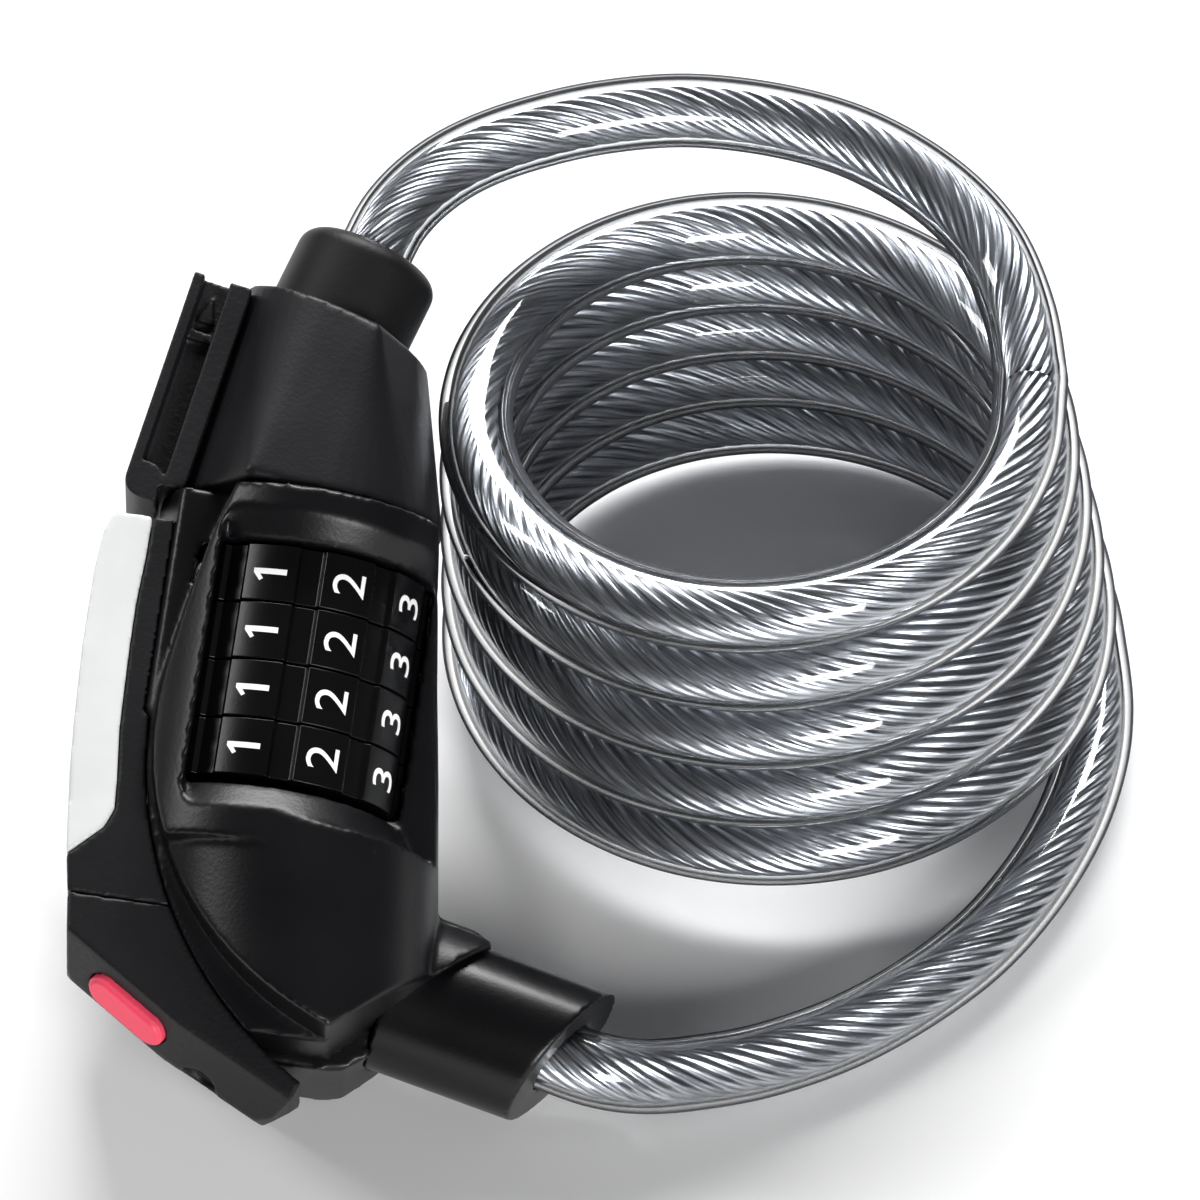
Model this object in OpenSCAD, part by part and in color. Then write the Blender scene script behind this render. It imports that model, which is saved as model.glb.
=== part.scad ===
// Coil cable combination lock: a lock head with four number dials, a light module and a pull-out plug,
// joined by a preformed steel cable in a clear jacket.
// Everything inside on_lock() is in the lock's own frame: +Z along the dial axis towards the plug,
// -Y out of the dial face, +X towards the coil, with its origin at the middle of the dial stack.

/* [Cable] */
// Outer diameter of the jacketed cable
cable_d = 12; // [11.6:0.1:12]
// Full turns in the coil
coil_turns = 5; // [4:1:6]
// Centreline radius of the top turn
coil_r = 44.5; // [44:0.1:45]
// How much the radius grows with each turn down
coil_growth = 1.2; // [1:0.1:1.3]
// How far each turn is set sideways from the one above
coil_shift = 1.2; // [1:0.1:1.3]
// Height from one turn to the next
coil_pitch = 12.8; // [12.4:0.1:12.8]

/* [Dials] */
// Distance from one dial to the next
dial_pitch = 9.5; // [9.4:0.05:9.6]
// Outer diameter over the number pads
dial_d = 40.8; // [40:0.1:41]
// Space between neighbouring dials
dial_gap = 0.4; // [0.3:0.05:0.6]

/* [Case] */
// Radius of the rounded case body
case_r = 24; // [23.6:0.1:24.2]
// Depth of the flat back behind the dial axis
back_y = 23; // [22.6:0.1:23.2]
// Gap between the plug and the case when closed
seam_gap = 0.6; // [0.4:0.1:0.8]

/* [Plug] */
// How far the locking pin reaches past the case seam
pin_reach = 48; // [46:0.5:48]
// Diameter of the locking pin's shaft
pin_d = 7.8; // [7.4:0.1:7.8]
// Width of the mounting shoe's flanges
shoe_w = 20; // [18:0.5:21]

/* [Light] */
// Travel of the light button
button_travel = 1.2; // [0.8:0.1:1.2]
// Number of coin cells
cell_count = 2; // [1:1:2]

/* [Hidden] */
$fn = 96;

// Where the coil's axis meets the floor, and where the middle of the dial stack is
coil_at = [65.8, 43.7, 0];
lock_at = [-8.3, -2.1, 49];
lock_lean = 64;
lock_turn = -9;
lock_roll = 6;

cable_r = cable_d / 2;
coil_h = coil_turns * coil_pitch - 0.3;
coil_foot_r = coil_r + coil_growth * coil_turns;
dial_r = dial_d / 2;
dial_w = dial_pitch - dial_gap;
stack_h = 4 * dial_pitch;
bay_r = dial_r + 0.6;
bay_h = stack_h + 0.4;
ring_bore = 12;
core_r = 7.5;
core_top = 27.9;
core_bottom = -26;
window_top = 19.4;
window_bottom = -20.6;
case_x = -0.6;
case_top = 28;
ridge_at = [31.8, -9];
ridge_r = 51.5;
foot_at = [42.9, -9.4];
foot_r = 63.4;
ledge_y = -12.8;
module_front = -12;
module_back = 22.6;
cap_seam = -39.6;
screw_spots = [[-10, 24], [12, 24], [-6, -28], [17, -28]];
outlet_at = [27, 6, -45.5];
outlet_dip = 12;
sleeve_r = 12.2;
sleeve_end = 25;
boot_at = [-1.5, 0, 60];
boot_tilt = 17;
boot_r = 11.8;
boot_end = 14.5;
shoe_at = [-31, 0, 26.6];
shoe_tilt = 9.5;
shoe_h = 38.2;
cell_at = [-18.5, -46.5];
cell_r = 6.25;
cell_h = 2;
fit = 0.05;

// Frames
module on_lock() translate(lock_at) rotate([-lock_lean, 0, lock_turn]) rotate([0, 0, lock_roll]) children();
module on_outlet() translate(outlet_at) rotate([0, 90 + outlet_dip, 0]) children();
module on_boot() translate(boot_at) rotate([0, boot_tilt, 0]) children();
module on_shoe() translate(shoe_at) rotate([0, shoe_tilt, 0]) children();
module on_wall(at, turn, lean) translate(at) rotate([0, turn, 0]) rotate([lean, 0, 0]) children();
module on_button() on_wall([-17.2, -6.3, -55.9], 32.7, 155) children();
module on_cap_screw() translate([-1, 15.6, -73.5]) rotate([0, 24, 0]) children();

// A face drawn in the lock's XZ plane, given depth from y0 to y1
module slab(y0, y1) translate([0, y1, 0]) rotate([90, 0, 0]) linear_extrude(y1 - y0) children();
module post(r, z0, z1) translate([0, 0, z0]) cylinder(r = r, h = z1 - z0);
module along_y(r, y0, y1, x, z) translate([x, y1, z]) rotate([90, 0, 0]) cylinder(r = r, h = y1 - y0);
module block(lo, hi) translate(lo) cube(hi - lo);

// ---- the case ----
module case_outline()
  polygon([[-28, case_top], [20, case_top], [23.5, 3], [28.4, -27], [38.2, -36], [14.5, -58], [-28, -58]]);

module rear_outline()
  polygon([[-28, case_top], [20, case_top], [23.5, 3], [28.4, -27], [38.2, -36], [38.2, -39.5], [22.3, -55.4],
    [17.5, -59.1], [14.3, -59.6], [-28, -59.6]]);

// The case: an upright round body that leans right below the dials. Its left side is cut back twice: behind
// the front ridge, which sweeps round to the lowest corner, and further out where the light module meets it
module case_body(gap = 0) {
  intersection() {
    union() {
      slab(-26, 0.01) case_outline();
      slab(0, back_y + gap) rear_outline();
    }
    union() {
      translate([case_x, 0, 0]) post(case_r + gap, -30, case_top);
      translate([case_x, 0, 4]) rotate([0, 180 - 8.2, 0]) cylinder(r = case_r + gap, h = 66);
      on_outlet() post(sleeve_r + 2, -14, 18);
    }
    union() {
      slab(-27, ledge_y + 0.01)
        polygon([[-19.3, -3], [-18.2, 4], [-16.9, 11], [-15.3, 18.7], [-12.2, case_top + 1],
          [40, case_top + 1], [40, -3]]);
      intersection() {
        along_y(ridge_r + gap, -27, ledge_y + 0.01, ridge_at[0], ridge_at[1]);
        block([-40, -30, -80], [60, 0, -2.9]);
      }
      block([-30, ledge_y, foot_at[1]], [30, 26, 30]);
      intersection() {
        along_y(foot_r + gap, ledge_y, back_y + 1, foot_at[0], foot_at[1]);
        block([-40, -30, -80], [60, 30, foot_at[1] + 0.01]);
      }
    }
  }
}

module window_cut()
  intersection() {
    rotate_extrude() polygon([[14, window_bottom], [21.2, window_bottom], [24.8, -26], [30, -31], [30, 29],
      [24.6, 24.9], [21.2, window_top], [14, window_top]]);
    union() {
      block([-9.1, -27, -25.6], [0, -8, 24.8]);
      block([-13.6, -27, -21.1], [0, -8, 20.3]);
      for (z = [-21.1, 20.3]) along_y(4.5, -27, -8, -9.1, z);
      block([-1, -27, -25.6], [30, -5, 24.8]);
    }
  }

module case_insides() {
  post(bay_r, -bay_h / 2, bay_h / 2);
  post(core_r + fit, core_bottom + 1, case_top + 1);
  post(10 + fit, core_bottom - fit, core_bottom + 4 + fit);
  on_outlet() {
    post(sleeve_r + fit, -4, 30);
    post(7.3 + fit, -17, 1);
  }
  for (s = screw_spots) {
    along_y(1.4 + fit, -9, back_y, s[0], s[1]);
    along_y(2.7 + fit, back_y - 2.6, back_y + 1, s[0], s[1]);
  }
  on_cap_screw() post(1.4 + fit, 0, 30);
}

module front_cover() color("#1b1b1f")
  difference() {
    intersection() {
      case_body();
      block([-40, -30, -80], [60, 0, 40]);
    }
    case_insides();
    window_cut();
  }

module rear_cover() color("#18181b")
  difference() {
    intersection() {
      case_body();
      block([-40, 0, -80], [60, 30, 40]);
    }
    case_insides();
  }

module case_screws() color("silver")
  for (s = screw_spots)
    difference() {
      union() {
        along_y(1.4, -8, back_y - 2.6, s[0], s[1]);
        along_y(2.7, back_y - 2.6, back_y - 0.6, s[0], s[1]);
      }
      translate([s[0], back_y - 0.5, s[1]]) rotate([90, 0, 0]) cylinder(r = 1.1, h = 1.2, $fn = 6);
    }

// ---- the dials and what they turn on ----
module lock_core() color("#b9bcc2")
  difference() {
    union() {
      post(core_r, core_bottom, core_top);
      post(10, core_bottom, core_bottom + 4);
    }
    post(pin_d / 2 + 0.3, core_bottom + 4, core_top + 1);
    block([-1.8, 0, core_bottom + 4], [1.8, 12, core_top + 1]);
    for (i = [0 : 3]) translate([0, 0, dial_z(i)]) rotate([90, 0, 0]) cylinder(r = 1.25, h = 12);
  }

function dial_z(i) = (1.5 - i) * dial_pitch;

module dial_washers() color("#6d6f74")
  for (i = [0 : 4])
    translate([0, 0, (2 - i) * dial_pitch])
      difference() {
        cylinder(r = 11.6, h = i == 0 || i == 4 ? 0.3 : 1.6, center = true);
        cylinder(r = core_r + fit, h = 4, center = true);
      }

module detent_balls() color("silver")
  for (i = [0 : 3]) translate([0, -6.35, dial_z(i)]) sphere(r = 1.2);

module detent_springs() color("#9a9da3")
  for (i = [0 : 3]) along_y(1, -5.1, -4.25, 0, dial_z(i));

// One dial: a ring with ten raised number pads and a groove on each side of each pad
module dial(i) color("#101012")
  translate([0, 0, dial_z(i) - dial_w / 2])
    difference() {
      union() {
        cylinder(r = dial_r - 0.8, h = dial_w);
        intersection() {
          cylinder(r = dial_r, h = dial_w);
          for (k = [0 : 9]) rotate([0, 0, 36 * k - 14.5]) block([-5, -dial_r - 1, 0.6], [5, -dial_r + 4, dial_w - 0.6]);
        }
      }
      translate([0, 0, -1]) cylinder(r = ring_bore, h = dial_w + 2);
    }
module dial_1() dial(0);
module dial_2() dial(1);
module dial_3() dial(2);
module dial_4() dial(3);

// One code ring: sits in its dial, with the gate that lets the pin's tooth through
module code_ring(i) color("#c0a968")
  translate([0, 0, dial_z(i)])
    difference() {
      cylinder(r = ring_bore - 0.02, h = 7.4, center = true);
      cylinder(r = core_r + 0.15, h = 10, center = true);
      rotate([0, 0, 72 * i]) block([-1.9, 0, -5], [1.9, 9.6, 5]);
    }
module code_ring_1() code_ring(0);
module code_ring_2() code_ring(1);
module code_ring_3() code_ring(2);
module code_ring_4() code_ring(3);

// ---- the fixed cable end ----
module outlet_sleeve() color("#1a1a1d")
  on_outlet() difference() {
    post(sleeve_r, -4 + fit, sleeve_end + 6);
    post(cable_r + fit, -5, sleeve_end + 8);
    post(7.3 + fit, -5, 1);
    translate([0, 0, sleeve_end]) rotate([5, 21, 0]) block([-24, -24, 0], [24, 24, 16]);
  }

module ferrule_lower() color("silver")
  on_outlet() difference() {
    union() {
      post(7.3, -16.5, 0.9);
      post(cable_r - 0.1, 0.5, sleeve_end - 5);
    }
    translate([0, 0, -10]) rotate([90, 0, 0]) cylinder(r = 1.5 + fit, h = 40, center = true);
  }

module ferrule_pin_lower() color("#9a9da3")
  translate(outlet_at) rotate([0, 90 + outlet_dip, 0]) translate([0, 0, -10]) rotate([90, 0, 0])
    cylinder(r = 1.5, h = 14.2, center = true);

// ---- the light module ----
module module_outline()
  polygon([[-33, 0], [-33, 12.7], [-32.4, 19.8], [-31, 22.6], [-15, 22.6], [-15, 10], [20, -30], [14.4, -58],
    [12.6, -62], [10.6, -67.6], [7.7, -69.7], [5.1, -69.8], [-1.1, -66.9], [-7.5, -63.5], [-12, -61.3],
    [-24.3, -53.4], [-26.5, -52.3], [-27.7, -50.6], [-29.2, -39.5], [-30.4, -32.9], [-31.8, -20.7], [-32.4, -12.7]]);

module lens_outline()
  polygon([[-36, 23.5], [-36, 30], [-25, 30], [-25.1, 16], [-25.5, 8], [-25.4, 0], [-25, -12], [-24, -22],
    [-23.8, -25.5], [-25, -28.6], [-36, -39.4]]);

// The module's lower walls: a chamfer at the front, which holds the button, and a draft towards the back
module module_body() {
  difference() {
    slab(module_front, module_back) module_outline();
    for (wall = [[-12, -61.3, 32.7], [-1.1, -66.9, 26.4]]) {
      on_wall([wall[0], -2.5, wall[1]], wall[2], 155) block([-60, -60, 0], [60, 60, 30]);
      on_wall([wall[0], -2.5, wall[1]], wall[2], 192) block([-60, -60, 0], [60, 60, 30]);
    }
    on_wall([10.6, -2.5, -67.6], -36, 192) block([-20, -60, 0], [20, 60, 30]);
    case_body(0.1);
    translate([case_x, 0, 0]) post(case_r + 0.1, foot_at[1], 40);
    intersection() {
      along_y(foot_r + 0.1, module_front - 1, module_back + 1, foot_at[0], foot_at[1]);
      block([-40, -30, -80], [60, 30, foot_at[1] + 0.1]);
    }
  }
}

module light_housing() color("#1d1d21")
  difference() {
    module_body();
    block([-60, -30, -90], [60, 30, cap_seam]);
    slab(module_front - 1, 12) lens_outline();
    post(bay_r, -bay_h / 2, bay_h / 2);
  }

module light_lens() color("#eef0ec")
  difference() {
    intersection() {
      slab(module_front, 11.9) module_outline();
      slab(module_front, 11.9) translate([-0.1, 0]) lens_outline();
    }
    block([-31, -10.2, -19], [-20, 10, 20.4]);
  }

module light_board() color("#2c6b3a") block([-26.7, -10.1, -18], [-25.8, 9.9, 19.5]);

module leds() color("#f3e9a8")
  for (z = [-12, 1, 14]) translate([-26.7, 0, z]) rotate([0, -90, 0]) {
    cylinder(r = 2.3, h = 1);
    cylinder(r = 1.9, h = 2.6);
  }

module pill(r, z0, z1)
  translate([0, 0, z0]) linear_extrude(z1 - z0) {
    square([15 - 6, 2 * r], center = true);
    for (s = [-1, 1]) translate([s * 4.5, 0]) circle(r = r);
  }

module battery_cap() color("#1b1b1e")
  difference() {
    module_body();
    block([-60, -30, cap_seam - 0.15], [60, 30, 40]);
    on_button() pill(3.15, -5.7, 1);
    along_y(cell_r + 0.15, -1.1, 4.9, cell_at[0], cell_at[1]);
    translate([-4.6, -1.4, -65]) rotate([0, 28, 0]) post(3.5, -5, 2.2);
    on_cap_screw() {
      post(1.4 + fit, -2, 40);
      post(2.2 + fit, -4, 13.4);
    }
  }

module battery_cells() color("#c9ccd1")
  for (i = [0 : cell_count - 1]) {
    along_y(cell_r, i * cell_h, (i + 0.86) * cell_h, cell_at[0], cell_at[1]);
    along_y(cell_r - 1, (i + 0.8) * cell_h, (i + 1) * cell_h, cell_at[0], cell_at[1]);
  }

module battery_contacts() color("#c7a24a") {
  block([cell_at[0] - 5, -0.6, cell_at[1] - 2], [cell_at[0] + 5, 0, cell_at[1] + 2]);
  block([cell_at[0] - 5, cell_count * cell_h, cell_at[1] - 2],
    [cell_at[0] + 5, cell_count * cell_h + 0.6, cell_at[1] + 2]);
}

module cap_screw() color("silver")
  on_cap_screw() difference() {
    union() {
      post(1.4, 13.4, 29);
      post(2.2, 11.4, 13.4);
    }
    translate([0, 0, 11.3]) cylinder(r = 0.9, h = 1.2, $fn = 6);
  }

module switch_dome() color("#b5b8bd") on_button() post(2.2, -5.7, -4.35);

module light_button() color("#e0314a")
  on_button() {
    pill(3, -3, 0.7);
    pill(2.4, 0.6, 1.2);
  }

// ---- the plug ----
module plug_shape() {
  hull() {
    translate([-0.5, 0, case_top + seam_gap]) cylinder(r = 21, h = 1, $fn = 48);
    translate([-1.6, 0, 58.3]) rotate([0, boot_tilt, 0]) cylinder(r = 16, h = 2, $fn = 48);
    translate([5.1, -14.8, 57.2]) sphere(r = 1.5, $fn = 16);
    translate([-10.3, -20, 30.2]) sphere(r = 1.5, $fn = 16);
  }
}

module plug_head() color("#1c1c20")
  difference() {
    union() {
      plug_shape();
      on_shoe() block([9.65, -7, 5], [14, 7, 34]);
    }
    on_shoe() block([-6, -shoe_w / 2 - 0.1, -6], [9.65, shoe_w / 2 + 0.1, shoe_h + 0.3]);
    post(5 + fit, 20, 42 + fit);
    along_y(1.2 + fit, -16, 16, 0, 37);
    on_boot() {
      post(boot_r + fit, 0, 30);
      post(7.2 + fit, -13, 1);
      translate([0, 0, -6]) rotate([90, 0, 0]) cylinder(r = 1.5 + fit, h = 26, center = true);
    }
    on_shoe() for (z = [11, 26]) translate([0, 0, z]) rotate([0, 90, 0]) cylinder(r = 1.25 + fit, h = 14.5);
  }

module boot() color("#161618")
  on_boot() difference() {
    rotate_extrude() {
      square([boot_r, boot_end - 3]);
      square([boot_r - 3, boot_end]);
      translate([boot_r - 3, boot_end - 3]) intersection() {
        circle(r = 3);
        square(3);
      }
    }
    post(cable_r - 0.05, -1, boot_end + 1);
  }

module locking_pin() color("#c3c6cb")
  difference() {
    union() {
      post(5, 33, 42);
      post(pin_d / 2, case_top - pin_reach, 34);
      for (i = [0 : 3]) block([-1.5, 0, dial_z(i) - 4], [1.5, 7, dial_z(i) - 1.4]);
    }
    along_y(1.2 + fit, -16, 16, 0, 37);
  }

module pin_retainer() color("#9a9da3") along_y(1.2, -12, 12, 0, 37);

module ferrule_upper() color("silver")
  on_boot() difference() {
    union() {
      post(7.2, -13 + fit, 0);
      post(cable_r - 0.1, -1, boot_end);
    }
    translate([0, 0, -6]) rotate([90, 0, 0]) cylinder(r = 1.5 + fit, h = 26, center = true);
  }

module ferrule_pin_upper() color("#9a9da3")
  on_boot() translate([0, 0, -6]) rotate([90, 0, 0]) cylinder(r = 1.5, h = 24, center = true);

// The shoe: two flanges joined by a web, closed at the bottom, with a pointer and a stop bar in its channel.
// Its foot is cut off level where it would reach down over the case
module shoe_body()
  on_shoe() difference() {
    union() {
      block([0, -shoe_w / 2, 3], [1.8, shoe_w / 2, shoe_h]);
      block([1.7, -6.6, 1], [6.1, 6.6, shoe_h]);
      block([6, -shoe_w / 2, 3], [9.6, shoe_w / 2, shoe_h]);
      block([3, -shoe_w / 2, 0], [9.6, shoe_w / 2, 3.2]);
      translate([3, 0, 3]) rotate([90, 0, 0]) cylinder(r = 3, h = shoe_w, center = true);
      translate([0, -6, 0]) slab(-1.6, 0) polygon([[2.4, shoe_h - 7], [5.4, shoe_h - 7], [3.9, shoe_h - 2.6]]);
      block([1.7, -7.6, shoe_h - 10.2], [6.1, -6, shoe_h - 8.6]);
    }
    for (z = [11, 26]) translate([0, 0, z]) rotate([0, 90, 0]) {
      translate([0, 0, -1]) cylinder(r = 1.25 + fit, h = 12);
      translate([0, 0, -1]) cylinder(r = 2.3 + fit, h = 3);
    }
  }

module mount_shoe() color("#1e1e22")
  difference() {
    shoe_body();
    block([-25.1, -30, 0], [0, 30, case_top + 0.3]);
  }

module shoe_screws() color("silver")
  on_shoe() for (z = [11, 26]) translate([0, 0, z]) rotate([0, 90, 0])
    difference() {
      union() {
        translate([0, 0, 0.3]) cylinder(r = 2.3, h = 1.7);
        translate([0, 0, 1.9]) cylinder(r = 1.25, h = 12);
      }
      translate([0, 0, 0.2]) cylinder(r = 0.9, h = 1.2, $fn = 6);
    }

// ---- the cable ----
// Routes from the coil's axis on the floor, in order from the lock to the coil or back
boot_exit = [-61, 19.5, 81.1];
upper_route = [boot_exit, [-57.7, 25.9, 84], [-53.5, 32.5, 86], [-46, 37, 87], [-36, 41, 87.5], [-24, 44.5, 87.5],
  [-10, 46.5, 87], [5, 46, 85], [18, 43, 82.5], [30, 36.5, 79], [38.5, 27.5, 75.5], [43, 15.5, 72.5],
  [44.5, 4, 70.8], [44.5, 0, 70.4]];
sleeve_exit = [-34.7, -92.5, 17.4];
lower_route = [[56.5, 0, 6], [57, -12, 6], [55.5, -24, 6], [51.5, -37, 6], [45, -50, 6], [36.5, -62, 6],
  [26, -72, 6], [14.5, -80, 6], [2, -86.4, 7], [-9, -91, 9.4], [-18, -94.4, 12.6], [-25.9, -95.3, 15.7], sleeve_exit];

function unit(v) = v / norm(v);
function heading(p, i) = unit(p[min(i + 1, len(p) - 1)] - p[max(i - 1, 0)]);
function side(t) = unit(cross(t, [0, 0, 1]));
function ring(p, i, r, n) = let (t = heading(p, i), a = side(t), b = cross(a, t))
  [for (k = [0 : n - 1]) p[i] + r * (cos(360 * k / n) * a + sin(360 * k / n) * b)];

module tube(p, r, n = 12) {
  points = [for (i = [0 : len(p) - 1]) each ring(p, i, r, n)];
  sides = [for (i = [0 : len(p) - 2], k = [0 : n - 1])
    [i * n + k, i * n + (k + 1) % n, (i + 1) * n + (k + 1) % n, (i + 1) * n + k]];
  ends = [[for (k = [n - 1 : -1 : 0]) k], [for (k = [0 : n - 1]) (len(p) - 1) * n + k]];
  polyhedron(points, concat(sides, ends), convexity = 4);
}

// The coil's outer shape: a wall one cable thick that widens downwards, centred on the middle turn
module cable_coil() color("#9aa0a4")
  translate(coil_at + [coil_shift * coil_turns / 2, 0, 0])
    rotate_extrude() polygon([
      [coil_r - cable_r, coil_h], [coil_r + cable_r, coil_h],
      [coil_foot_r + cable_r, 0], [coil_foot_r - cable_r, 0]]);

module cable_upper_lead() color("#9aa0a4") translate(coil_at) tube(upper_route, cable_r);
module cable_lower_lead() color("#9aa0a4") translate(coil_at) tube(lower_route, cable_r);

on_lock() front_cover();
on_lock() rear_cover();
on_lock() lock_core();
on_lock() dial_washers();
on_lock() detent_balls();
on_lock() detent_springs();
on_lock() dial_1();
on_lock() dial_2();
on_lock() dial_3();
on_lock() dial_4();
on_lock() code_ring_1();
on_lock() code_ring_2();
on_lock() code_ring_3();
on_lock() code_ring_4();
on_lock() case_screws();
on_lock() outlet_sleeve();
on_lock() ferrule_lower();
on_lock() ferrule_pin_lower();
on_lock() light_housing();
on_lock() light_lens();
on_lock() light_board();
on_lock() leds();
on_lock() battery_cap();
on_lock() battery_cells();
on_lock() battery_contacts();
on_lock() cap_screw();
on_lock() switch_dome();
on_lock() light_button();
on_lock() plug_head();
on_lock() boot();
on_lock() locking_pin();
on_lock() pin_retainer();
on_lock() ferrule_upper();
on_lock() ferrule_pin_upper();
on_lock() mount_shoe();
on_lock() shoe_screws();
cable_coil();
cable_upper_lead();
cable_lower_lead();
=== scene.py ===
# %% [markdown]
# # A coil cable combination lock
# The lock is a black moulded head with four number dials, a small light module and a plug that pulls out.
# A steel cable in a clear jacket joins the head to the plug and is wound in five turns.
# The solid model fixes every size and every joint. This lesson gives the same object its surfaces.

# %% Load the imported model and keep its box
from math import atan2, cos, pi, radians, sin, sqrt, tau

import bmesh
import bpy
from mathutils import Matrix, Vector


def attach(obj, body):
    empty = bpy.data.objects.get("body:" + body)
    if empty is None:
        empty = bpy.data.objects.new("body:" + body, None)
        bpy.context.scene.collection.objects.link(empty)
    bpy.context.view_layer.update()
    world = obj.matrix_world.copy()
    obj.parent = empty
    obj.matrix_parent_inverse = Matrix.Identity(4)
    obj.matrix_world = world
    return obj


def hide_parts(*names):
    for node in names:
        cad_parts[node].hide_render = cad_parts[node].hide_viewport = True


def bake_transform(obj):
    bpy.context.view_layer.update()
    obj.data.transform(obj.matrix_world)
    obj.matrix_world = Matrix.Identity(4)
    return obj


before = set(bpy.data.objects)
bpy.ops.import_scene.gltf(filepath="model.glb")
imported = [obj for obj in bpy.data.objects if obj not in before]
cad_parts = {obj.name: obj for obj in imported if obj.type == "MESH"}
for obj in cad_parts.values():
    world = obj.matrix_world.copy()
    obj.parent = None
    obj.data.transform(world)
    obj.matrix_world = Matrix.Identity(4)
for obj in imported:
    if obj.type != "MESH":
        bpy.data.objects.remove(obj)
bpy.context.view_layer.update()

# %% [markdown]
# ## Two frames
# The coil stands upright, so its pieces are placed from the point where its axis meets the floor.
# The lock head leans. It is easier to model it upright in millimetres, with the dial axis as Z and the dial
# face towards -Y, and to move the finished mesh into place with one matrix.

# %% Where the coil and the lock head stand
coil_at = Vector((0.0658, 0.0437, 0))
lock_at = Vector((-0.0083, -0.0021, 0.049))
mm = 0.001
lock_frame = (Matrix.Translation(lock_at) @ Matrix.Rotation(radians(-9), 4, "Z")
              @ Matrix.Rotation(radians(-64), 4, "X") @ Matrix.Rotation(radians(6), 4, "Z")
              @ Matrix.Scale(mm, 4))
dial_pitch = 9.5

# %% [markdown]
# ## The camera
# A long lens from well above: the rings of the coil show as wide ellipses, and near and far turns look almost
# the same size. The camera is placed by its elevation and distance from a point between head and coil.

# %% Camera
elevation = radians(48.5)
camera_distance = 1.8
look_at = coil_at + Vector((-0.0245, 0.0099, 0.0087))
camera = bpy.data.objects.new("camera", bpy.data.cameras.new("camera"))
bpy.context.scene.collection.objects.link(camera)
camera.location = look_at + camera_distance * Vector((0, -cos(elevation), sin(elevation)))
camera.rotation_euler = (pi / 2 - elevation, 0, 0)
camera.data.lens = 327
camera.data.sensor_width = 36
camera.data.clip_end = 20
bpy.context.scene.camera = camera

# %% [markdown]
# ## The cable's route
# A cable is one smooth line with a fixed length. The stretches that aren't coiled follow listed points,
# and the turns are a helix from a loop. A Catmull-Rom spline passes through every point, and stepping along it
# by equal lengths gives a line that is fine enough to carry a twisted rope.

# %% Route points, from the plug's boot round the coil to the outlet sleeve
cable_r = 0.006
turns, coil_r, coil_growth, coil_shift, coil_pitch = 5, 0.0445, 0.0012, 0.0012, 0.0128
coil_top = cable_r + turns * coil_pitch
line_step = 0.0018
curve_steps = 24
upper_route = [(-61, 19.5, 81.1), (-57.6, 25.6, 83.9), (-52.4, 31.3, 85.8), (-45.4, 36.3, 87),
               (-36, 40.7, 87.5), (-24, 44.5, 87.5), (-10, 46.5, 87), (5, 46, 85), (18, 43, 82.5),
               (30, 36.5, 79), (38.5, 27.5, 75.5), (43, 15.5, 72.5), (44.5, 4, 70.8), (44.5, 0, 70.4)]
lower_route = [(56.5, 0, 6), (57, -12, 6), (55.5, -24, 6), (51.5, -37, 6), (45, -50, 6), (36.5, -62, 6),
               (26, -72, 6), (14.5, -80, 6), (2, -86.4, 7), (-9, -91, 9.4), (-18, -94.4, 12.6),
               (-25.9, -95.3, 15.7), (-34.7, -92.5, 17.4)]


def helix_point(turn):
    """A point of the coil's centreline, counted in turns from its upper end."""
    angle, radius = -tau * turn, coil_r + coil_growth * turn
    return Vector((coil_shift * turn + radius * cos(angle), radius * sin(angle), coil_top - coil_pitch * turn))


def smooth_line(points, step):
    """Points an equal step apart along the Catmull-Rom spline through the given ones."""
    ends = [2 * points[0] - points[1], *points, 2 * points[-1] - points[-2]]
    fine = []
    for a, b, c, d in zip(ends, ends[1:], ends[2:], ends[3:]):
        for k in range(curve_steps):
            t = k / curve_steps
            fine.append(0.5 * (2 * b + (c - a) * t + (2 * a - 5 * b + 4 * c - d) * t * t
                               + (3 * b - a - 3 * c + d) * t ** 3))
    fine.append(points[-1])
    spaced, left = [fine[0]], step
    for p, q in zip(fine, fine[1:]):
        long = (q - p).length
        while long >= left:
            p = p + (q - p) * (left / long)
            spaced.append(p)
            long, left = (q - p).length, step
        left -= long
    return spaced


coil_points = [helix_point(k / curve_steps) for k in range(1, curve_steps * turns)]
route = [Vector(p) * mm for p in upper_route] + coil_points + [Vector(p) * mm for p in lower_route]
line = [coil_at + p for p in smooth_line(route, line_step)]
coil_start = coil_at + Vector(upper_route[-1]) * mm
split = min(range(len(line)), key=lambda i: (line[i] - coil_start).length)
upper_line, coil_line = line[:split + 1], line[split:]


def length_of(points):
    return sum((q - p).length for p, q in zip(points, points[1:]))


print("cable:", round(length_of(line), 4), "m, of which to the plug:", round(length_of(upper_line), 4), "m")

# %% [markdown]
# ## Sweeping the cable
# A Blender curve sweeps any closed outline along a line, and each point's tilt turns the outline. With a plain
# circle that is the jacket. With a ring of fifteen round lobes and a steady tilt it is a wire rope, whose
# strands wind to the right as real ones do. Both become meshes, because the stretch near the plug has to bend
# as the plug slides.

# %% Curve sweeps
rope_r, strands, lay_length = 0.0051, 15, 0.055
strand_ring_r, strand_r = 0.0043, 0.00094
lobe_points, jacket_points = 6, 28
lay_along, lay_around = 12, 1.5


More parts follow.
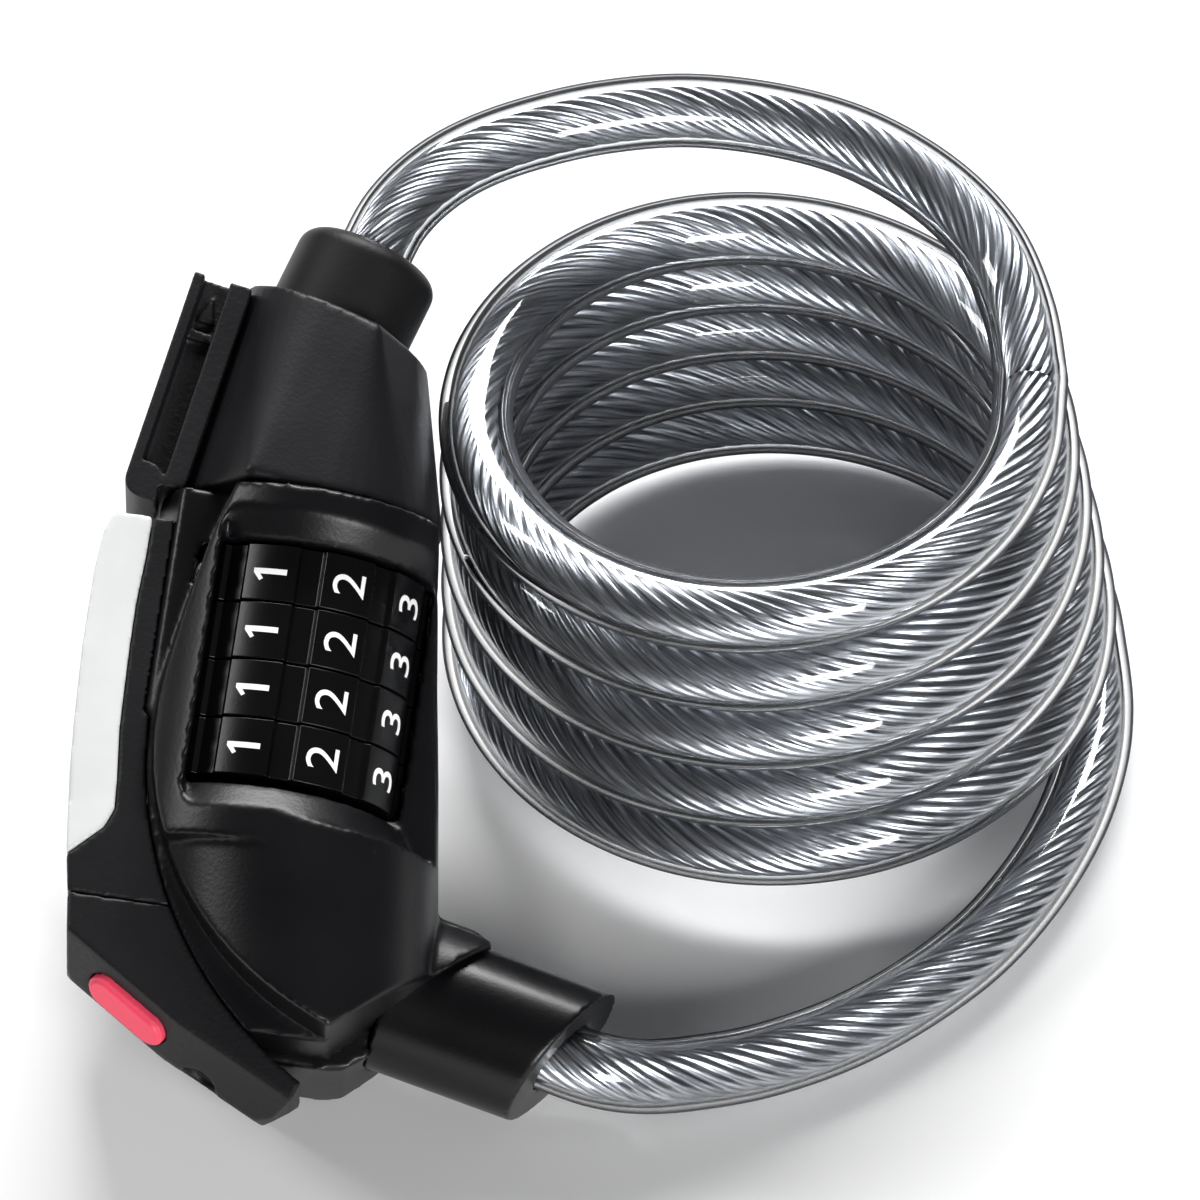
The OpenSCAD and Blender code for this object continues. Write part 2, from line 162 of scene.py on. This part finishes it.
def outline_curve(name, points):
    """A closed flat outline to sweep."""
    curve = bpy.data.curves.new(name, "CURVE")
    spline = curve.splines.new("POLY")
    spline.points.add(len(points) - 1)
    for point, (x, y) in zip(spline.points, points):
        point.co = (x, y, 0, 1)
    spline.use_cyclic_u = True
    return bpy.data.objects.new(name, curve)


def swept(name, points, outline, twist_start=0.0, twist=0.0, caps=True):
    """The mesh of an outline swept along points, turned by twist radians a metre."""
    curve = bpy.data.curves.new(name, "CURVE")
    curve.dimensions, curve.twist_mode = "3D", "MINIMUM"
    curve.bevel_mode, curve.bevel_object, curve.use_fill_caps = "OBJECT", outline, caps
    spline = curve.splines.new("POLY")
    spline.points.add(len(points) - 1)
    for i, (point, at) in enumerate(zip(spline.points, points)):
        point.co = (*at, 1)
        point.tilt = twist_start + twist * i * line_step
    maker = bpy.data.objects.new(name + "_maker", curve)
    bpy.context.scene.collection.objects.link(maker)
    bpy.context.view_layer.update()
    made = bpy.data.meshes.new_from_object(maker.evaluated_get(bpy.context.evaluated_depsgraph_get()))
    bpy.data.objects.remove(maker)
    made.name = name
    return made


def mark_rope(mesh, points, around):
    """Give a swept rope a map: how far out each point is, and where it is along and round the rope."""
    height = mesh.attributes.new("rope_height", "FLOAT", "POINT")
    lay = mesh.attributes.new("rope_lay", "FLOAT_VECTOR", "POINT")
    for i, v in enumerate(mesh.vertices):
        at = min(i // around, len(points) - 1)
        height.data[i].value = (v.co - points[at]).length / rope_r
        turn = tau * (i % around) / around
        lay.data[i].vector = (at * line_step * lay_along, cos(turn) * lay_around, sin(turn) * lay_around)


def lobe_radius(angle):
    """The outer edge of a ring of round strands, at an angle."""
    off = (angle + pi / strands) % (tau / strands) - pi / strands
    return strand_ring_r * cos(off) + sqrt(max(0.0, strand_r ** 2 - (strand_ring_r * sin(off)) ** 2))


steps = strands * lobe_points
lobe_scale = rope_r / lobe_radius(0)
rope_outline = outline_curve("rope_outline", [
    (lobe_scale * lobe_radius(tau * k / steps) * cos(tau * k / steps),
     lobe_scale * lobe_radius(tau * k / steps) * sin(tau * k / steps)) for k in range(steps)])
jacket_outline = outline_curve("jacket_outline", [
    (cable_r * cos(tau * k / jacket_points), cable_r * sin(tau * k / jacket_points))
    for k in range(jacket_points)])

# %% [markdown]
# ## Materials
# Effects that several materials share are node groups, which only put out values. Each material keeps its own
# shader and its own constants.

# %% Node helpers


def new_group(name, inputs, outputs):
    """A shader node group with float inputs, given as name: default, and float outputs."""
    group = bpy.data.node_groups.new(name, "ShaderNodeTree")
    for label, value in inputs.items():
        group.interface.new_socket(label, in_out="INPUT", socket_type="NodeSocketFloat").default_value = value
    for label in outputs:
        group.interface.new_socket(label, in_out="OUTPUT", socket_type="NodeSocketFloat")
    return group, group.nodes.new("NodeGroupInput"), group.nodes.new("NodeGroupOutput")


def maths(tree, operation, a, b=None, clamp=False):
    """A Math node. Each operand is a number or a socket."""
    node = tree.nodes.new("ShaderNodeMath")
    node.operation, node.use_clamp = operation, clamp
    for socket, value in zip(node.inputs, (a, b)):
        if isinstance(value, bpy.types.NodeSocket):
            tree.links.new(value, socket)
        elif value is not None:
            socket.default_value = value
    return node.outputs[0]


def noise(tree, scale, detail=2.0, vector=None):
    node = tree.nodes.new("ShaderNodeTexNoise")
    node.inputs["Detail"].default_value = detail
    if isinstance(scale, bpy.types.NodeSocket):
        tree.links.new(scale, node.inputs["Scale"])
    else:
        node.inputs["Scale"].default_value = scale
    if vector is None:
        vector = tree.nodes.new("ShaderNodeTexCoord").outputs["Object"]
    tree.links.new(vector, node.inputs["Vector"])
    return node.outputs["Fac"]


# Moulded grain: a fine spark-eroded texture as a height, and a slow variation of the polish.
grain, grain_in, grain_out = new_group("moulded_grain", {"Scale": 2400.0}, ["Height", "Polish"])
grain.links.new(noise(grain, grain_in.outputs["Scale"], 3.0), grain_out.inputs["Height"])
grain.links.new(noise(grain, 60.0, 3.0), grain_out.inputs["Polish"])


def material(name, color, roughness, metallic=0.0, **sockets):
    """A Principled material with plain constants, and its tree and shader."""
    made = bpy.data.materials.new(name)
    made.use_nodes = True
    shader = made.node_tree.nodes["Principled BSDF"]
    shader.inputs["Base Color"].default_value = (*color, 1)
    shader.inputs["Roughness"].default_value = roughness
    shader.inputs["Metallic"].default_value = metallic
    for label, value in sockets.items():
        shader.inputs[label.replace("_", " ")].default_value = value
    return made, made.node_tree, shader


def add_bump(tree, shader, height, distance):
    bump = tree.nodes.new("ShaderNodeBump")
    bump.inputs["Strength"].default_value, bump.inputs["Distance"].default_value = 1.0, distance
    tree.links.new(height, bump.inputs["Height"])
    tree.links.new(bump.outputs["Normal"], shader.inputs["Normal"])


def mixed(tree, factor, low, high):
    """A colour between two, by a value."""
    node = tree.nodes.new("ShaderNodeMix")
    node.data_type = "RGBA"
    tree.links.new(factor, node.inputs["Factor"])
    node.inputs[6].default_value, node.inputs[7].default_value = (*low, 1), (*high, 1)
    return node.outputs[2]


def ranged(tree, value, low, high):
    """A value from 0..1 spread from low to high."""
    return maths(tree, "ADD", maths(tree, "MULTIPLY", value, high - low), low)


def plastic(name, color, roughness, scale, depth, spread=0.08):
    """Moulded plastic: grain as bump, uneven polish, and a colour that isn't quite even."""
    made, tree, shader = material(name, color, roughness, Specular_IOR_Level=0.32)
    node = tree.nodes.new("ShaderNodeGroup")
    node.node_tree = grain
    node.inputs["Scale"].default_value = scale
    add_bump(tree, shader, node.outputs["Height"], depth)
    tree.links.new(ranged(tree, node.outputs["Polish"], roughness - spread, roughness + spread),
                   shader.inputs["Roughness"])
    lighter = tuple(1.35 * c for c in color)
    tree.links.new(mixed(tree, node.outputs["Polish"], color, lighter), shader.inputs["Base Color"])
    return made


# %% Materials of the lock head
case_black = plastic("case_black", (0.0022, 0.0021, 0.0029), 0.36, 1500, 0.00003)
plug_black = plastic("plug_black", (0.004, 0.0038, 0.0052), 0.44, 1500, 0.00003)
module_black = plastic("module_black", (0.0038, 0.0036, 0.0047), 0.5, 1100, 0.00008)
shoe_black = plastic("shoe_black", (0.0045, 0.0042, 0.0054), 0.5, 1100, 0.0001)
sleeve_black = plastic("sleeve_black", (0.002, 0.002, 0.0026), 0.3, 1800, 0.00002)
boot_black = plastic("boot_black", (0.002, 0.002, 0.0024), 0.5, 2000, 0.00003)
dial_black = plastic("dial_black", (0.0016, 0.0016, 0.0019), 0.28, 1800, 0.00001)
numeral_white = plastic("numeral_white", (0.85, 0.85, 0.84), 0.45, 2500, 0.00001)
lens_white = plastic("lens_white", (0.6, 0.615, 0.605), 0.22, 900, 0.00001)
button_red = plastic("button_red", (0.72, 0.06, 0.11), 0.42, 1800, 0.00003)
board_green = plastic("board_green", (0.02, 0.14, 0.05), 0.35, 500, 0.00002)
led_clear = plastic("led_clear", (0.85, 0.8, 0.5), 0.15, 900, 0.000005)


def metal(name, color, roughness, scale):
    """Plain turned or plated metal with a fine uneven polish."""
    made, tree, shader = material(name, color, roughness, metallic=1.0)
    height = noise(tree, scale, 4.0)
    add_bump(tree, shader, height, 0.00001)
    tree.links.new(ranged(tree, noise(tree, 90.0, 3.0), roughness - 0.08, roughness + 0.12),
                   shader.inputs["Roughness"])
    return made


plain_steel = metal("plain_steel", (0.42, 0.43, 0.45), 0.36, 2200)
zinc_cast = metal("zinc_cast", (0.55, 0.55, 0.57), 0.42, 1500)
turned_brass = metal("turned_brass", (0.75, 0.58, 0.28), 0.3, 2200)

# %% [markdown]
# ## Rope and jacket finishes
# The rope's strands are bright galvanised steel. Its map of heights paints the valleys between them near black
# as painted shade, and noise stretched along the lay draws the fine wires of each strand. The jacket is clear
# plastic: it lets light straight through to the rope for shadow rays, so the steel inside is lit as it is in
# life. Towards its edges it turns into a dark grey, which is painted shade for the dark lines where the turns
# meet. A hard clear coat carries the highlights.

# %% Rope and jacket materials
rope_steel, tree, shader = material("rope_steel", (0.6, 0.62, 0.64), 0.3, metallic=1.0)
height_in = tree.nodes.new("ShaderNodeAttribute")
height_in.attribute_name = "rope_height"
lay_in = tree.nodes.new("ShaderNodeAttribute")
lay_in.attribute_name = "rope_lay"
wires = noise(tree, 7.0, 3.0, lay_in.outputs["Vector"])
# painted shade: the valleys between the strands get a near-black colour, and the crowns keep the steel's colour
crown = tree.nodes.new("ShaderNodeMapRange")
crown.inputs["From Min"].default_value, crown.inputs["From Max"].default_value = 0.93, 0.99
tree.links.new(height_in.outputs["Fac"], crown.inputs["Value"])
unshaded_crowns = maths(tree, "MULTIPLY", crown.outputs["Result"], ranged(tree, wires, -0.35, 1.55), clamp=True)
tree.links.new(mixed(tree, unshaded_crowns, (0.004, 0.004, 0.005), (0.74, 0.76, 0.8)), shader.inputs["Base Color"])
add_bump(tree, shader, wires, 0.00012)
jacket_clear, tree, shader = material("jacket_clear", (0.8, 0.82, 0.84), 0.04, IOR=1.14,
                                      Transmission_Weight=1.0, Coat_Weight=1.0, Coat_Roughness=0.05,
                                      Coat_IOR=1.5)
glass_out = tree.nodes["Material Output"]
# painted shade: a dark grey diffuse towards the jacket's edges draws the dark lines where the turns meet
painted_edge_shade = tree.nodes.new("ShaderNodeBsdfDiffuse")
painted_edge_shade.inputs["Color"].default_value = (0.07, 0.073, 0.082, 1)
rim = tree.nodes.new("ShaderNodeLayerWeight")
rim.inputs["Blend"].default_value = 0.5
rim_range = tree.nodes.new("ShaderNodeMapRange")
rim_range.inputs["From Min"].default_value, rim_range.inputs["From Max"].default_value = 0.5, 0.74
tree.links.new(rim.outputs["Facing"], rim_range.inputs["Value"])
rim_mix = tree.nodes.new("ShaderNodeMixShader")
tree.links.new(rim_range.outputs["Result"], rim_mix.inputs["Fac"])
tree.links.new(shader.outputs["BSDF"], rim_mix.inputs[1])
tree.links.new(painted_edge_shade.outputs["BSDF"], rim_mix.inputs[2])
see_through = tree.nodes.new("ShaderNodeBsdfTransparent")
see_through.inputs["Color"].default_value = (0.62, 0.63, 0.65, 1)
light_path = tree.nodes.new("ShaderNodeLightPath")
shadow_mix = tree.nodes.new("ShaderNodeMixShader")
tree.links.new(light_path.outputs["Is Shadow Ray"], shadow_mix.inputs["Fac"])
tree.links.new(rim_mix.outputs["Shader"], shadow_mix.inputs[1])
tree.links.new(see_through.outputs["BSDF"], shadow_mix.inputs[2])
tree.links.new(shadow_mix.outputs["Shader"], glass_out.inputs["Surface"])

# %% Making pieces


def piece(name, mesh, look, smooth=True):
    """An object in the scene with one material, at the origin."""
    made = bpy.data.objects.new(name, mesh)
    bpy.context.scene.collection.objects.link(made)
    mesh.materials.clear()
    mesh.materials.append(look)
    mesh.polygons.foreach_set("use_smooth", [smooth] * len(mesh.polygons))
    return made


twist = tau / lay_length


def lay_gap(rope_before, before, rope_after, after):
    """The sine and cosine of the turn from one rope's first strand to the next rope's, where they meet."""
    along = (after[1] - after[0]).normalized()
    a = rope_before.vertices[(len(before) - 1) * steps].co - before[-1]
    b = rope_after.vertices[0].co - after[0]
    return a.cross(b).dot(along) / (a.length * b.length), a.dot(b) / (a.length * b.length)


upper_rope_mesh = swept("upper_cable_rope", upper_line, rope_outline, 0.0, twist)
trial = swept("trial_rope", coil_line, rope_outline, 0.0, twist)
turned_sin, turned_cos = lay_gap(upper_rope_mesh, upper_line, trial, coil_line)
phase = atan2(turned_sin, turned_cos)
coil_rope_mesh = max((swept("coil_cable_rope", coil_line, rope_outline, way * phase, twist) for way in (1, -1)),
                     key=lambda mesh: lay_gap(upper_rope_mesh, upper_line, mesh, coil_line)[1])
for name, points, rope_mesh in (("upper_cable", upper_line, upper_rope_mesh),
                                ("coil_cable", coil_line, coil_rope_mesh)):
    jacket = piece(name + "_jacket", swept(name + "_jacket", points, jacket_outline, caps=False), jacket_clear)
    rope = piece(name + "_rope", rope_mesh, rope_steel)
    mark_rope(rope.data, points, steps)
    for made in (jacket, rope):
        if name == "coil_cable":
            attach(made, "lock_case")
        else:
            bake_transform(made)
    if name == "coil_cable":
        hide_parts("cable_coil", "cable_lower_lead")
    else:
        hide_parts("cable_upper_lead")
    print(name, len(jacket.data.polygons), len(rope.data.polygons))

# %% [markdown]
# ## Moulded shells
# A shell whose solid is already right needs only what a mould gives it: small rounds on its edges.
# The solid's mesh comes as loose triangles, so a copy is merged. A Remesh modifier then rebuilds it from small
# even cells, and a Smooth modifier relaxes them, which takes the sharpness off every edge and leaves flats
# flat.

# %% Shells from the solids


def merged_copy(node):
    """A copy of a solid's mesh with shared corners and whole flat faces."""
    bm = bmesh.new()
    bm.from_mesh(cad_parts[node].data)
    bmesh.ops.remove_doubles(bm, verts=bm.verts, dist=0.000003)
    bmesh.ops.dissolve_degenerate(bm, dist=0.000003, edges=bm.edges)
    bmesh.ops.dissolve_limit(bm, angle_limit=radians(0.6), verts=bm.verts, edges=bm.edges)
    mesh = bpy.data.meshes.new(node + "_shell")
    bm.to_mesh(mesh)
    bm.free()
    return mesh


def rounded(made, width, segments, limit):
    """Round the edges that are sharper than a limit in degrees."""
    bevel = made.modifiers.new("rounds", "BEVEL")
    bevel.width, bevel.segments, bevel.limit_method = width, segments, "ANGLE"
    bevel.angle_limit, bevel.harden_normals, bevel.miter_outer = radians(limit), True, "MITER_ARC"
    return made


def moulded(made, cell, rounds):
    """Rebuild a shell from even cells and relax it, so that all of its edges get a soft round."""
    even = made.modifiers.new("even_cells", "REMESH")
    even.mode, even.voxel_size, even.use_smooth_shade = "VOXEL", cell, True
    relax = made.modifiers.new("soft_edges", "SMOOTH")
    relax.factor, relax.iterations = 0.5, rounds
    return made


def shell(node, look, body, cell, rounds):
    made = moulded(piece(node + "_shell", merged_copy(node), look), cell, rounds)
    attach(made, body)
    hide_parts(node)


shells = [
    ("front_cover", case_black, "lock_case", 0.0006, 3, "case_plastic"),
    ("rear_cover", case_black, "lock_case", 0.0006, 3, "case_plastic"),
    ("light_housing", module_black, "lock_case", 0.00045, 4, "module_plastic"),
    ("battery_cap", module_black, "lock_case", 0.0004, 4, "module_plastic"),
    ("light_lens", lens_white, "lock_case", 0.0004, 4, "lens_plastic"),
    ("outlet_sleeve", sleeve_black, "lock_case", 0.00045, 5, "sleeve_plastic"),
    ("plug_head", plug_black, "plug", 0.0005, 3, "plug_plastic"),
    ("boot", boot_black, "plug", 0.0004, 4, "boot_rubber"),
    ("mount_shoe", shoe_black, "plug", 0.0003, 3, "shoe_plastic"),
    ("light_button", button_red, "button", 0.00022, 3, "button_plastic"),
]
for node, look, body, cell, rounds, slot in shells:
    shell(node, look, body, cell, rounds)

# %% Solids that keep their own mesh, with a better material
kept = {
    plain_steel: ["case_screws", "cap_screw", "shoe_screws", "locking_pin", "pin_retainer", "detent_balls",
                  "detent_springs", "dial_washers", "ferrule_pin_lower", "ferrule_pin_upper", "battery_cells",
                  "switch_dome"],
    zinc_cast: ["lock_core", "ferrule_lower", "ferrule_upper"],
    turned_brass: ["code_ring_1", "code_ring_2", "code_ring_3", "code_ring_4", "battery_contacts"],
    board_green: ["light_board"],
    led_clear: ["leds"],
}
for look, nodes in kept.items():
    for node in nodes:
        for material_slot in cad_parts[node].material_slots:
            material_slot.material = look

# %% [markdown]
# ## Dials
# Each dial is a ring with ten raised pads, one for each numeral. A plain wall of narrow faces is inset in ten
# groups to raise the pads with sloping sides, then its rims are carried in to the bore.

# %% Dials and numerals
dial_r, dial_w, ring_bore = 20.4, 9.1, 12.0
pad_height, pad_slope = 0.8, 0.55
numeral_height, print_lift, half_print = 5.4, 0.03, 0.05
first_pad, pad_half_turn, numerals = -14.5, 13.6, 10
faces_round = 80


def dial_mesh(height):
    """One dial around the lock's axis, its middle at a height, in millimetres."""
    bm = bmesh.new()
    bmesh.ops.create_cone(bm, cap_ends=False, segments=faces_round, radius1=dial_r - pad_height,
                          radius2=dial_r - pad_height, depth=dial_w)
    bmesh.ops.rotate(bm, verts=bm.verts, matrix=Matrix.Rotation(radians(first_pad), 3, "Z"))
    pads = []
    for face in bm.faces:
        at = face.calc_center_median()
        turn = (Vector((0, -1)).angle_signed(Vector((at.x, at.y))) * -1 - radians(first_pad)) % (tau / numerals)
        if min(turn, tau / numerals - turn) < radians(pad_half_turn):
            pads.append(face)
    bmesh.ops.inset_region(bm, faces=pads, thickness=pad_slope, depth=pad_height, use_even_offset=True)
    rims = [e for e in bm.edges if e.is_boundary]
    inner = bmesh.ops.extrude_edge_only(bm, edges=rims)["geom"]
    inward = ring_bore / (dial_r - pad_height)
    bmesh.ops.scale(bm, vec=(inward, inward, 1), verts=[v for v in inner if isinstance(v, bmesh.types.BMVert)])
    bmesh.ops.bridge_loops(bm, edges=[e for e in bm.edges if e.is_boundary])
    bmesh.ops.recalc_face_normals(bm, faces=bm.faces)
    bmesh.ops.translate(bm, verts=bm.verts, vec=(0, 0, height))
    bmesh.ops.transform(bm, verts=bm.verts, matrix=lock_frame)
    mesh = bpy.data.meshes.new("dial")
    bm.to_mesh(mesh)
    bm.free()
    return mesh


def numeral_outline(text_body):
    """One flat numeral, centred, as a thin slab. A one is a stem with a slanting flag."""
    if text_body == "1":
        flat = bpy.data.meshes.new("numeral")
        bm = bmesh.new()
        corners = [(-0.35, -2.7), (0.55, -2.7), (0.55, 2.7), (-0.15, 2.7), (-1.45, 1.6), (-1.1, 1.05),
                   (-0.35, 1.6)]
        for z in (-half_print, half_print):
            bm.faces.new([bm.verts.new((x, y, z)) for x, y in corners])
        bmesh.ops.bridge_loops(bm, edges=bm.edges[:])
        bm.to_mesh(flat)
        bm.free()
        return flat
    text = bpy.data.curves.new("numeral", "FONT")
    text.body, text.size, text.extrude = text_body, 7.6, half_print
    text.offset, text.resolution_u = -0.02, 5
    maker = bpy.data.objects.new("numeral", text)
    bpy.context.scene.collection.objects.link(maker)
    bpy.context.view_layer.update()
    flat = bpy.data.meshes.new_from_object(maker.evaluated_get(bpy.context.evaluated_depsgraph_get()))
    bpy.data.objects.remove(maker)
    low = Vector([min(v.co[k] for v in flat.vertices) for k in range(3)])
    high = Vector([max(v.co[k] for v in flat.vertices) for k in range(3)])
    for v in flat.vertices:
        v.co -= (low + high) / 2
        v.co.x *= 1.16
        v.co.y *= numeral_height / (high.y - low.y)
    return flat


def numerals_mesh(height):
    """The ten numerals of one dial as thin raised print, wrapped onto its pads."""
    bm = bmesh.new()
    for k in range(numerals):
        one = bmesh.new()
        one.from_mesh(numeral_outline(str((k + 1) % numerals)))
        for y in (-2, -1, 0, 1, 2):
            bmesh.ops.bisect_plane(one, geom=one.verts[:] + one.edges[:] + one.faces[:],
                                   plane_co=(0, y, 0), plane_no=(0, 1, 0))
        for v in one.verts:
            turn = radians(first_pad) + tau * k / numerals - v.co.y / dial_r
            out = dial_r + print_lift + v.co.z
            v.co = (out * sin(turn), -out * cos(turn), height + v.co.x)
        wrapped = bpy.data.meshes.new("numeral")
        one.to_mesh(wrapped)
        one.free()
        bm.from_mesh(wrapped)
    bmesh.ops.recalc_face_normals(bm, faces=bm.faces)
    bmesh.ops.transform(bm, verts=bm.verts, matrix=lock_frame)
    mesh = bpy.data.meshes.new("numerals")
    bm.to_mesh(mesh)
    bm.free()
    return mesh


for i in range(4):
    name, height = f"dial_{i + 1}", (1.5 - i) * dial_pitch
    dial = rounded(piece(name + "_wheel", dial_mesh(height), dial_black), 0.00015, 2, 20)
    printed = piece(name + "_numerals", numerals_mesh(height), numeral_white, smooth=False)
    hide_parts(name)
    for made in (dial, printed):
        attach(made, name + "_body")

# %% [markdown]
# ## Floor and light
# A white floor under a dim pale sky, and three area lights. None is overhead, because that is where the dial
# face mirrors. A key light stands at the right, a soft light at the left, and a strip behind draws a bright
# line along the jacket.

# %% Floor
floor_mesh = bpy.data.meshes.new("floor")
bm = bmesh.new()
bmesh.ops.create_grid(bm, x_segments=1, y_segments=1, size=6)
bmesh.ops.translate(bm, verts=bm.verts, vec=(0, 0, -0.0002))
bm.to_mesh(floor_mesh)
bm.free()
floor_white = material("floor_white", (0.9, 0.9, 0.9), 0.9)[0]
floor = piece("floor", floor_mesh, floor_white, smooth=False)

# %% Lights


def area_light(name, place, size, power, aim=coil_at + Vector((-0.03, 0, 0.04))):
    lamp = bpy.data.lights.new(name, "AREA")
    lamp.shape, lamp.size, lamp.size_y, lamp.energy = "RECTANGLE", size[0], size[1], power
    made = bpy.data.objects.new(name, lamp)
    bpy.context.scene.collection.objects.link(made)
    made.location = aim + Vector(place)
    made.rotation_euler = (-Vector(place)).to_track_quat("-Z", "Y").to_euler()


area_light("key_light", (0.45, -1.1, 0.5), (0.5, 0.4), 13)
area_light("left_light", (-0.95, 0.1, 0.75), (0.2, 0.45), 4.5)
area_light("back_strip", (0.1, 0.95, 0.95), (1.0, 0.35), 29)
world = bpy.data.worlds.new("studio")
world.use_nodes = True
world.node_tree.nodes["Background"].inputs["Color"].default_value = (1, 1, 1, 1)
world.node_tree.nodes["Background"].inputs["Strength"].default_value = 0.07
bpy.context.scene.world = world
bpy.context.scene.view_settings.view_transform = "Standard"
